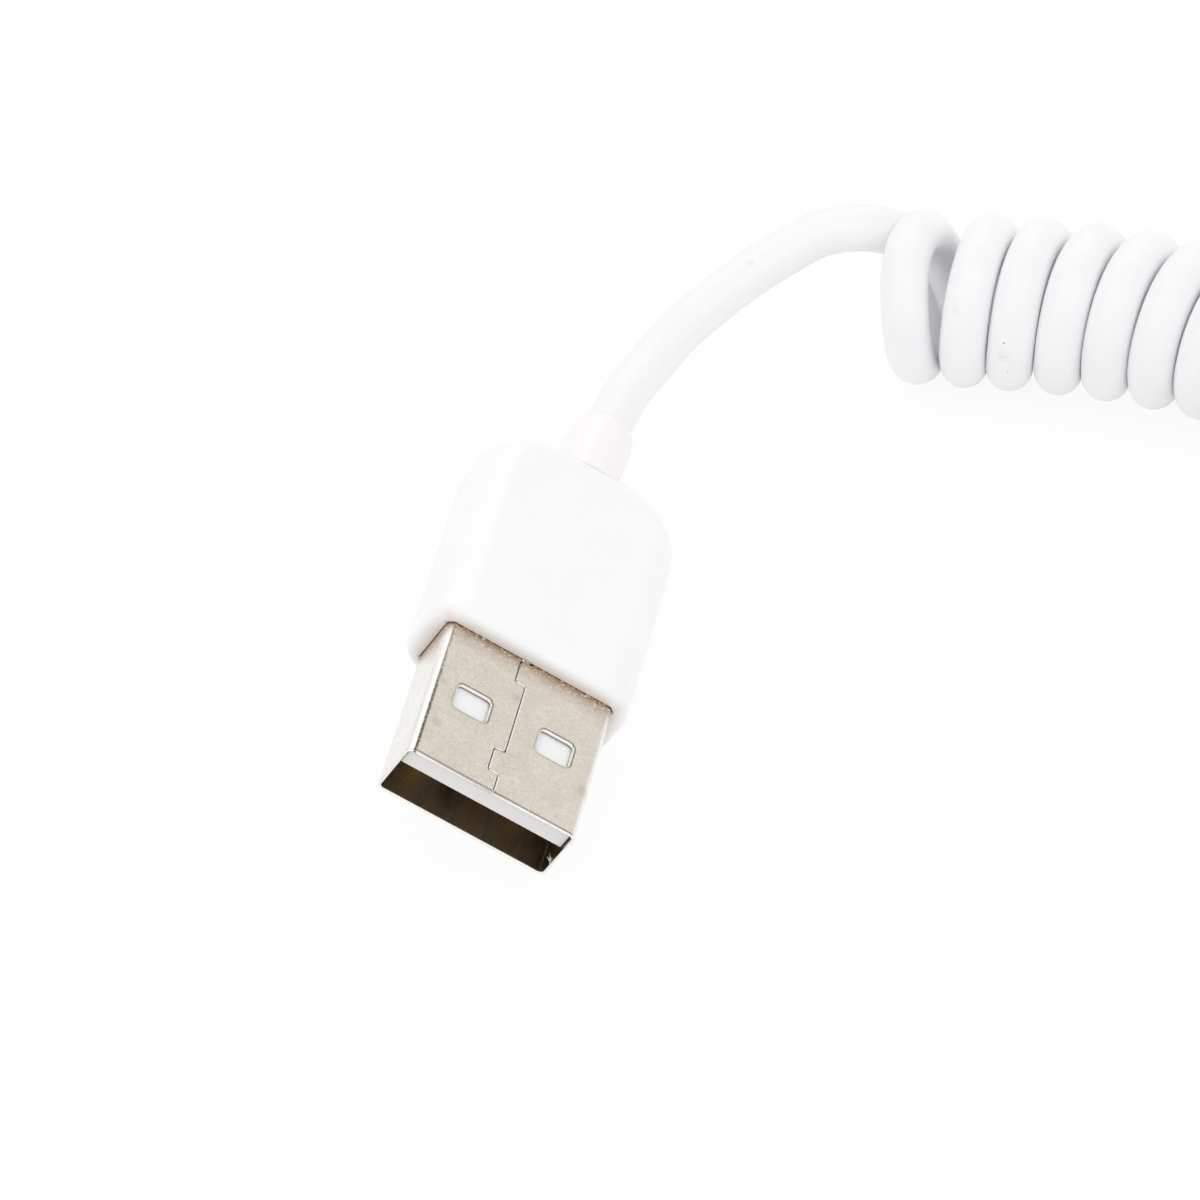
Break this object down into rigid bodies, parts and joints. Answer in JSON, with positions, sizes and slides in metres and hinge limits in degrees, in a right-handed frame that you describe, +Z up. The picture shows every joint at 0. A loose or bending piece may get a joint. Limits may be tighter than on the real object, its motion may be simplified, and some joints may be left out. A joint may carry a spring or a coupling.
{
  "type": "coiled charging cable",
  "caption": "White curly charging cable: rectangular host plug on a moulded boot, plain lead, close-wound stretchy coil, short tail and a small oval device plug.",
  "frame": {"origin": "on the table, under the middle of the rectangular plug with its boot and collar", "axes": "+Z up; -Y along the rectangular plug, out of its mouth; +X to the right, the way the coiled cord sets off"},
  "size_m": [0.0831, 0.0823, 0.0118],
  "materials": {
    "nickel": "bright nickel plate",
    "white_insulator": "moulded, slightly glossy",
    "contact_metal": "plated",
    "solder": "bright solder",
    "red_insulation": "satin",
    "white_insulation": "satin",
    "green_insulation": "satin",
    "black_insulation": "satin",
    "inner_mould": "moulded",
    "white_boot": "smooth moulded, soft gloss",
    "white_cord": "smooth jacket, soft gloss",
    "dark_insulator": "moulded",
    "spring_steel": "stamped sheet",
    "board": "solder mask"
  },
  "bodies": {
    "root": {"usb_a_shell": "nickel", "usb_a_insulator": "white_insulator", "power_contact": "contact_metal", "data_minus_contact": "contact_metal", "data_plus_contact": "contact_metal", "ground_contact": "contact_metal", "usb_a_solder": "solder", "usb_a_red_wire": "red_insulation", "usb_a_white_wire": "white_insulation", "usb_a_green_wire": "green_insulation", "usb_a_black_wire": "black_insulation", "usb_a_inner_mould": "inner_mould", "usb_a_boot": "white_boot", "lead_cord": "white_cord", "coil_cord": "white_cord", "tail_cord": "white_cord", "usb_c_shell": "nickel", "usb_c_housing": "dark_insulator", "usb_c_upper_contacts": "contact_metal", "usb_c_lower_contacts": "contact_metal", "usb_c_latch_springs": "spring_steel", "usb_c_ground_springs": "spring_steel", "usb_c_circuit_board": "board", "usb_c_resistor": "black_insulation", "usb_c_solder": "solder", "usb_c_red_wire": "red_insulation", "usb_c_white_wire": "white_insulation", "usb_c_green_wire": "green_insulation", "usb_c_black_wire": "black_insulation", "usb_c_shield_upper": "spring_steel", "usb_c_shield_lower": "spring_steel", "usb_c_boot": "white_boot"}
  },
  "joints": []
}
